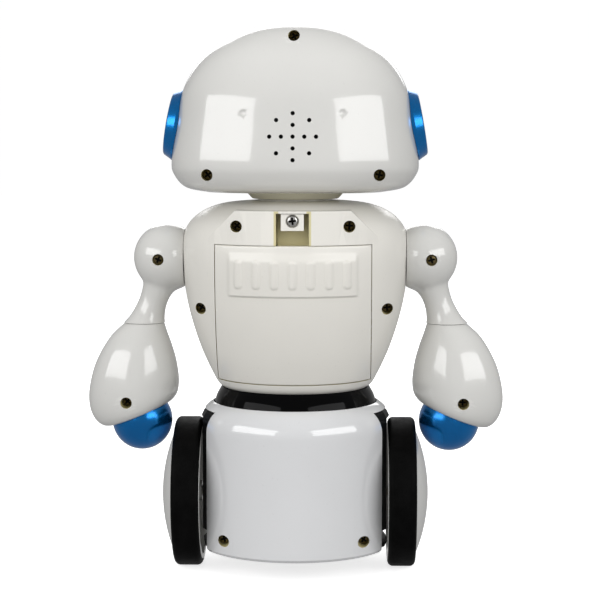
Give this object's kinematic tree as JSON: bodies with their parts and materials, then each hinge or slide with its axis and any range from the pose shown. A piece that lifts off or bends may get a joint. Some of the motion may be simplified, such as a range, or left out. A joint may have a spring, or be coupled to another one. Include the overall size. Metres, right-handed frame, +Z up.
{
  "type": "two-wheel toy robot",
  "caption": "Toy robot on a round two-wheel base with a turning torso and head, swinging arms with ball hands and a battery compartment in its back.",
  "frame": {"origin": "on the floor, midway between the two drive wheels, at the bottom centre of the bounding box", "axes": "+Z up, -Y is the way the robot looks, +Y is its back with the battery cover, +X is the robot's left"},
  "size_m": [0.204, 0.114, 0.2658],
  "materials": {
    "white_plastic": "glossy moulded",
    "cream_plastic": "semi-gloss moulded",
    "black_gloss": "high gloss",
    "black_plastic": "satin",
    "blue_metallic": "metallic paint on plastic",
    "eye_lens": "polished",
    "grey_plastic": "matte",
    "gear_plastic": "satin nylon",
    "screw_steel": "plated",
    "cell": "printed sleeve, unmarked",
    "motor_can": "plated can",
    "circuit_board": "solder mask",
    "tyre": "matte rubber"
  },
  "bodies": {
    "base": {"chassis": "black_plastic", "base_rear_shell": "white_plastic", "base_front_shell": "white_plastic", "waist_ring": "black_gloss", "base_screw_left": "screw_steel", "base_screw_right": "screw_steel", "counterweight": "screw_steel", "drive_motor_left": "motor_can", "drive_motor_right": "motor_can"},
    "wheel_left": {"tyre_left": "tyre", "wheel_hub_left": "white_plastic", "output_gear_left": "gear_plastic"},
    "wheel_right": {"tyre_right": "tyre", "wheel_hub_right": "white_plastic", "output_gear_right": "gear_plastic"},
    "idler_left": {"idler_gear_left": "gear_plastic"},
    "idler_right": {"idler_gear_right": "gear_plastic"},
    "pinion_left": {"motor_pinion_left": "screw_steel"},
    "pinion_right": {"motor_pinion_right": "screw_steel"},
    "roller_front": {"front_roller": "black_plastic"},
    "torso": {"torso_rear_shell": "cream_plastic", "torso_front_shell": "cream_plastic", "battery_box": "cream_plastic", "battery_cell_1": "cell", "battery_cell_2": "cell", "battery_cell_3": "cell", "battery_cell_4": "cell", "main_board": "circuit_board", "torso_screw_upper_left": "screw_steel", "torso_screw_upper_right": "screw_steel", "torso_screw_lower_left": "screw_steel", "torso_screw_lower_right": "screw_steel"},
    "battery_door": {"battery_cover": "cream_plastic", "battery_cover_screw": "screw_steel"},
    "button": {"power_button": "blue_metallic"},
    "arm_left": {"upper_arm_rear_left": "white_plastic", "upper_arm_front_left": "white_plastic", "shoulder_screw_left": "screw_steel"},
    "arm_right": {"upper_arm_rear_right": "white_plastic", "upper_arm_front_right": "white_plastic", "shoulder_screw_right": "screw_steel"},
    "forearm_left": {"forearm_rear_left": "white_plastic", "forearm_front_left": "white_plastic", "forearm_screw_left": "screw_steel", "hand_ball_left": "blue_metallic"},
    "forearm_right": {"forearm_rear_right": "white_plastic", "forearm_front_right": "white_plastic", "forearm_screw_right": "screw_steel", "hand_ball_right": "blue_metallic"},
    "head": {"head_rear_shell": "white_plastic", "head_front_shell": "white_plastic", "face_visor": "black_gloss", "eye_lenses": "eye_lens", "ear_cap_left": "blue_metallic", "ear_cap_right": "blue_metallic", "speaker": "grey_plastic", "neck_collar": "cream_plastic", "head_screw_top": "screw_steel", "head_screw_left": "screw_steel", "head_screw_right": "screw_steel"}
  },
  "joints": [
    {"name": "wheel_spin_left", "type": "hinge", "parent": "base", "child": "wheel_left", "pos_m": [0.052, 0, 0.0367], "axis": [1, 0, 0], "continuous": true},
    {"name": "wheel_spin_right", "type": "hinge", "parent": "base", "child": "wheel_right", "pos_m": [-0.052, 0, 0.0367], "axis": [1, 0, 0], "continuous": true},
    {"name": "idler_spin_left", "type": "hinge", "parent": "base", "child": "idler_left", "pos_m": [0.033, -0.013, 0.04603], "axis": [1, 0, 0], "continuous": true},
    {"name": "idler_spin_right", "type": "hinge", "parent": "base", "child": "idler_right", "pos_m": [-0.033, -0.013, 0.04603], "axis": [1, 0, 0], "continuous": true},
    {"name": "pinion_spin_left", "type": "hinge", "parent": "base", "child": "pinion_left", "pos_m": [0.033, -0.02, 0.05815], "axis": [1, 0, 0], "continuous": true},
    {"name": "pinion_spin_right", "type": "hinge", "parent": "base", "child": "pinion_right", "pos_m": [-0.033, -0.02, 0.05815], "axis": [1, 0, 0], "continuous": true},
    {"name": "roller_spin_front", "type": "hinge", "parent": "base", "child": "roller_front", "pos_m": [0, -0.034, 0.0052], "axis": [1, 0, 0], "continuous": true},
    {"name": "waist_yaw", "type": "hinge", "parent": "base", "child": "torso", "pos_m": [0, 0, 0.09], "axis": [0, 0, 1], "range_deg": [-25, 25]},
    {"name": "head_yaw", "type": "hinge", "parent": "torso", "child": "head", "pos_m": [0, 0, 0.183], "axis": [0, 0, 1], "range_deg": [-60, 60]},
    {"name": "shoulder_swing_left", "type": "hinge", "parent": "torso", "child": "arm_left", "pos_m": [0.0627, 0, 0.1526], "axis": [-1, 0, 0], "range_deg": [-60, 110]},
    {"name": "shoulder_swing_right", "type": "hinge", "parent": "torso", "child": "arm_right", "pos_m": [-0.0627, 0, 0.1526], "axis": [-1, 0, 0], "range_deg": [-60, 110]},
    {"name": "forearm_twist_left", "type": "hinge", "parent": "arm_left", "child": "forearm_left", "pos_m": [0.0743, 0, 0.1205], "axis": [0, 0, 1], "range_deg": [-45, 45]},
    {"name": "forearm_twist_right", "type": "hinge", "parent": "arm_right", "child": "forearm_right", "pos_m": [-0.0743, 0, 0.1205], "axis": [0, 0, 1], "range_deg": [-45, 45]},
    {"name": "battery_cover_slide", "type": "slide", "parent": "torso", "child": "battery_door", "axis": [0, 1, 0], "range_m": [0, 0.04]},
    {"name": "power_button_press", "type": "slide", "parent": "torso", "child": "button", "axis": [0, 1, 0], "range_m": [0, 0.0012], "stiffness_N_per_m": 800}
  ],
  "couplings": [
    {"joint": "idler_spin_left", "follows": "wheel_spin_left", "ratio": -3},
    {"joint": "pinion_spin_left", "follows": "wheel_spin_left", "ratio": 9},
    {"joint": "idler_spin_right", "follows": "wheel_spin_right", "ratio": -3},
    {"joint": "pinion_spin_right", "follows": "wheel_spin_right", "ratio": 9}
  ]
}
